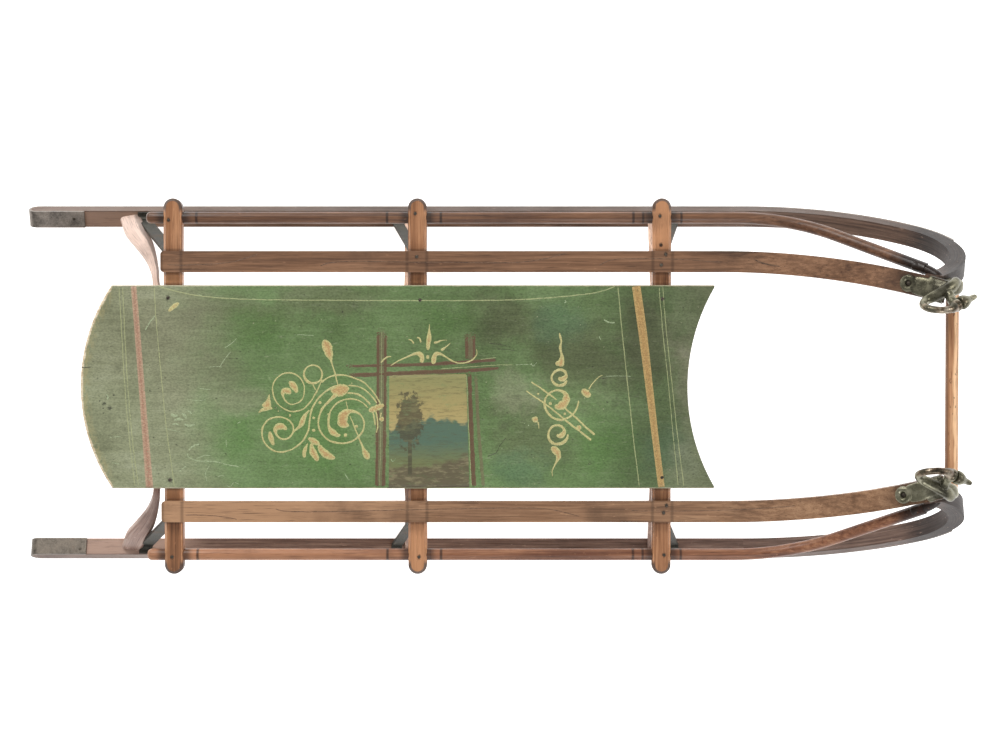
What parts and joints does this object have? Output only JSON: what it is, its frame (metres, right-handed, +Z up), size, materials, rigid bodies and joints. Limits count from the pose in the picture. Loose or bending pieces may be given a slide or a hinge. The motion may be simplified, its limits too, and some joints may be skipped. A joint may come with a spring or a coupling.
{
  "type": "wooden sled",
  "caption": "Antique bent-wood coasting sled with canted iron-shod runners curled at the front, a painted board seat, side slats and rods, and cast bird-head finials.",
  "frame": {"origin": "centre of the sled's outline on the floor, between the soles of the two runners", "axes": "+X along the runners towards the curled front, +Y towards the sled's left, +Z up"},
  "size_m": [0.985, 0.386, 0.2711],
  "materials": {
    "seat_paint": "worn green paint with ochre and red striping and scrollwork",
    "bar_wood": "old varnished hardwood, warm brown",
    "slat_wood": "old varnished hardwood, reddish brown, worn edges",
    "rod_wood": "old varnished round rod with faded red streaks",
    "bent_wood": "weathered steam-bent hardwood, grey brown",
    "dowel_wood": "clear varnished light hardwood",
    "cast_iron": "dark cast iron with traces of old plating",
    "strap_iron": "forged flat iron, dull grey",
    "shoe_iron": "flat iron, rubbed and lightly rusted"
  },
  "bodies": {
    "root": {"seat_board": "seat_paint", "front_dowel": "dowel_wood", "crossbar_rear": "bar_wood", "bow_rear": "bent_wood", "strap_rear_left": "strap_iron", "strap_rear_right": "strap_iron", "crossbar_middle": "bar_wood", "bow_middle": "bent_wood", "strap_middle_left": "strap_iron", "strap_middle_right": "strap_iron", "crossbar_front": "bar_wood", "bow_front": "bent_wood", "strap_front_left": "strap_iron", "strap_front_right": "strap_iron", "runner_left": "bent_wood", "shoe_left": "shoe_iron", "side_slat_left": "slat_wood", "side_rod_left": "rod_wood", "finial_left": "cast_iron", "runner_right": "bent_wood", "shoe_right": "shoe_iron", "side_slat_right": "slat_wood", "side_rod_right": "rod_wood", "finial_right": "cast_iron"}
  },
  "joints": []
}
